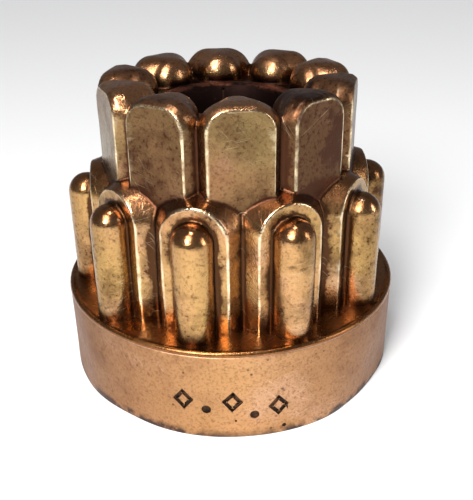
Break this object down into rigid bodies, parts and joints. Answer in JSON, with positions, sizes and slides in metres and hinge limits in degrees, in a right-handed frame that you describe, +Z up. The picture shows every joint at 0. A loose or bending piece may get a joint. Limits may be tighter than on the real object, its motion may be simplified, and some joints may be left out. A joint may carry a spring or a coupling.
{
  "type": "castellated copper ring mould",
  "caption": "Sheet-copper ring mould, mouth down: plain base band, arcade of pilastered arches, crown of flat-faced lobes and an open tapered centre tube.",
  "frame": {"origin": "centre of the mouth, in the plane of the base band's lower edge that the mould stands on", "axes": "+Z up along the tube's axis, towards the crown; a lobe of the crown is centred on -Y; the band's seam is at +Y"},
  "size_m": [0.14, 0.14, 0.1235],
  "materials": {
    "band_copper": "satin",
    "tier_copper": "burnished",
    "tube_copper": "tarnished",
    "braze": "dull"
  },
  "bodies": {
    "root": {"base_band": "band_copper", "band_seam_braze": "braze", "shoulder_ring": "band_copper", "shoulder_fillet": "braze", "arcade_tier": "tier_copper", "arcade_fillet": "braze", "crown_tier": "tier_copper", "tier_fillet": "braze", "centre_tube": "tube_copper", "tube_seam_braze": "braze", "tube_fillet": "braze"}
  },
  "joints": []
}
